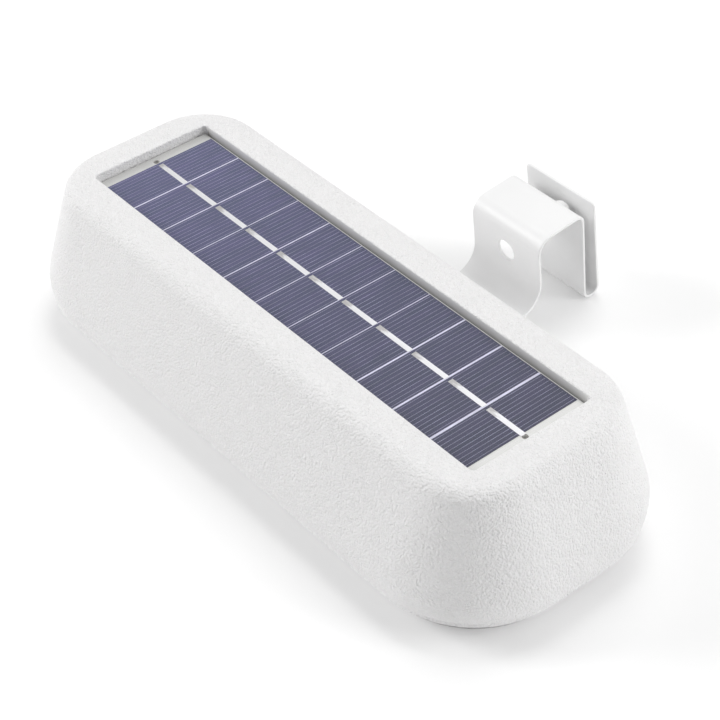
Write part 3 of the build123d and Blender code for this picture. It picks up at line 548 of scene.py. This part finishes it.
def board_white():
    """White board, darker towards its end by the far wall through a painted shadow."""
    unshaded = (0.78, 0.78, 0.765)
    painted_wall_shadow = (0.5, 0.5, 0.49)
    made = Surface("white_board", unshaded, 0.5)
    # Painted shadow of the far wall: the board darkens towards its far end.
    reach = made.wander(made.along("X", WALL_SHADOW_START - PAD_X, -RECESS_HALF[0]), made.noise(5), 0.2)
    made.paint(made.ramp(reach, unshaded, painted_wall_shadow, 0.3, 1.0))
    made.bump(made.noise(0.8), 0.01)
    return made.material


def clear_film():
    """A clear film seen only by its faint gloss."""
    made = Surface("clear_film", (1.0, 1.0, 1.0), 0.2)
    made.shader.inputs["Alpha"].default_value = 0.02
    made.bump(made.noise(14, detail=1), 0.02)
    return made.material


def circuit_board(name, colour):
    """Lacquered board, mottled by its copper."""
    made = Surface(name, colour, 0.35)
    made.vary_colour(3, 0.2)
    made.bump(made.pebbles(2.2), 0.02)
    return made.material


def make_materials():
    """One material for each slot of the record, and those of the print and sealant on the panel."""
    return {
        "white_grained_plastic": grained_plastic("white_grained_plastic"),
        "white_cover_plastic": grained_plastic("white_cover_plastic"),
        "seal_rubber": moulded("seal_rubber", (0.03, 0.03, 0.032), 0.75),
        "screw_steel": metal("screw_steel", (0.6, 0.6, 0.62), 0.32),
        "insert_brass": metal("insert_brass", (0.72, 0.52, 0.24), 0.35),
        "foam_tape": moulded("foam_tape", (0.05, 0.05, 0.05), 0.9, grain=0.3, height=0.05),
        "white_board": board_white(),
        "solar_cell": solar_cell(),
        "solder_ribbon": solder_ribbon(),
        "cell_finger": cell_finger(),
        "gap_sealant": gap_sealant(),
        "pad_solder": metal("pad_solder", (0.3, 0.28, 0.26), 0.5),
        "recess_wall_painted_shade": recess_wall_painted_shade(),
        "clear_film": clear_film(),
        "lead_jacket": moulded("lead_jacket", (0.42, 0.02, 0.02), 0.35),
        "white_powder_coat": powder_coat(),
        "green_board": circuit_board("green_board", (0.015, 0.12, 0.05)),
        "shield_steel": metal("shield_steel", (0.68, 0.69, 0.7), 0.28, brushed=(1.0, 8.0, 1.0)),
        "chip_resin": moulded("chip_resin", (0.02, 0.02, 0.022), 0.6),
        "capacitor_can": metal("capacitor_can", (0.75, 0.76, 0.78), 0.25),
        "connector_nylon": moulded("connector_nylon", (0.7, 0.66, 0.56), 0.5),
        "battery_wrap": moulded("battery_wrap", (0.03, 0.12, 0.35), 0.25),
        "black_plastic": moulded("black_plastic", (0.022, 0.022, 0.024), 0.5),
        "speaker_frame": metal("speaker_frame", (0.12, 0.12, 0.13), 0.5),
        "lamp_board": moulded("lamp_board", (0.8, 0.81, 0.8), 0.35),
        "lamp_phosphor": moulded("lamp_phosphor", (0.85, 0.68, 0.18), 0.45),
        "white_reflector": moulded("white_reflector", (0.86, 0.86, 0.86), 0.2, height=0.004),
        "frosted_lens": clear("frosted_lens", (0.9, 0.92, 0.93), 0.42, 0.75, grain=0.5, height=0.03),
        "motion_dome": moulded("motion_dome", (0.82, 0.83, 0.82), 0.38, grain=1.2, height=0.08),
        "dark_trim_plastic": moulded("dark_trim_plastic", (0.028, 0.028, 0.03), 0.48, grain=0.4,
                                     height=0.03),
        "infrared_resin": moulded("infrared_resin", (0.035, 0.008, 0.02), 0.12, height=0.002),
        "head_plastic": moulded("head_plastic", (0.018, 0.018, 0.02), 0.22, height=0.004),
        "trim_metal": metal("trim_metal", (0.2, 0.205, 0.215), 0.35, brushed=(1.0, 1.0, 6.0)),
        "lens_glass": clear("lens_glass", (0.55, 0.62, 0.78), 0.02, 0.9),
        "button_rubber": moulded("button_rubber", (0.06, 0.063, 0.066), 0.62),
        "light_guide": clear("light_guide", (0.9, 0.95, 1.0), 0.15, 0.7),
        "flap_rubber": moulded("flap_rubber", (0.6, 0.6, 0.59), 0.66, grain=0.4, height=0.03),
    }


def paint_cad_nodes(materials):
    """Gives every CAD node the material of its slot."""
    for entry in frame["record"]["subparts"]:
        piece = nodes[entry["node"]]
        piece.data.materials.clear()
        piece.data.materials.append(materials[entry["material_slot"]])


# ---------------------------------------------------------------- stage
def make_camera():
    """The camera at the chosen place, turned a little about its own view."""
    data = bpy.data.cameras.new("view_camera")
    data.lens = CAMERA_LENS
    data.sensor_width = SENSOR
    data.clip_end = 20
    camera = bpy.data.objects.new("view_camera", data)
    bpy.context.scene.collection.objects.link(camera)
    camera.location = Vector(CAMERA_PLACE) * MM
    aim = (Vector(CAMERA_TARGET) - Vector(CAMERA_PLACE)).to_track_quat("-Z", "Y")
    camera.rotation_mode = "QUATERNION"
    camera.rotation_quaternion = aim @ Quaternion((0, 0, 1), math.radians(CAMERA_ROLL))
    bpy.context.scene.camera = camera


def area_light(name, place, size, power):
    """A round soft light aimed at the object, in metres and watts."""
    data = bpy.data.lights.new(name, "AREA")
    data.shape = "DISK"
    data.size = size
    data.energy = power
    light = bpy.data.objects.new(name, data)
    bpy.context.scene.collection.objects.link(light)
    light.location = place
    light.rotation_mode = "QUATERNION"
    light.rotation_quaternion = (Vector(LIGHT_AIM) - Vector(place)).to_track_quat("-Z", "Y")


def make_stage():
    """Pale floor, white surroundings and large soft lights."""
    made = Surface("studio_floor", (0.9, 0.9, 0.9), 0.9)
    made.vary_colour(400, 0.01)
    made.shader.inputs["Emission Color"].default_value = (1.0, 1.0, 1.0, 1.0)
    made.shader.inputs["Emission Strength"].default_value = FLOOR_GLOW
    bm = bmesh.new()
    bmesh.ops.create_grid(bm, x_segments=8, y_segments=8, size=FLOOR_HALF)
    mesh = bpy.data.meshes.new("studio_floor")
    bm.to_mesh(mesh)
    bm.free()
    floor = bpy.data.objects.new("studio_floor", mesh)
    mesh.materials.append(made.material)
    bpy.context.scene.collection.objects.link(floor)

    world = bpy.data.worlds.new("studio_world")
    bpy.context.scene.world = world
    world.use_nodes = True
    background = world.node_tree.nodes["Background"]
    background.inputs["Color"].default_value = (1.0, 1.0, 1.0, 1.0)
    background.inputs["Strength"].default_value = WORLD_STRENGTH
    area_light("left_light", (-1.45, -1.2, 1.0), 1.0, 21.5)
    area_light("right_light", (1.45, 1.1, 0.75), 1.0, 13.2)
    area_light("top_light", (-0.3, 0.5, 1.6), 1.0, 10.3)
    area_light("fill_light", (0.7, 0.4, 1.4), 0.9, 2.6)
    scene = bpy.context.scene
    scene.view_settings.view_transform = "Standard"
    scene.view_settings.look = "None"


def main():
    materials = make_materials()
    paint_cad_nodes(materials)
    make_housing(materials["white_grained_plastic"], materials["recess_wall_painted_shade"])
    make_fingers(materials["cell_finger"])
    make_gap_lines(materials["gap_sealant"])
    make_solder_pads(materials["pad_solder"])
    make_stage()
    make_camera()


main()
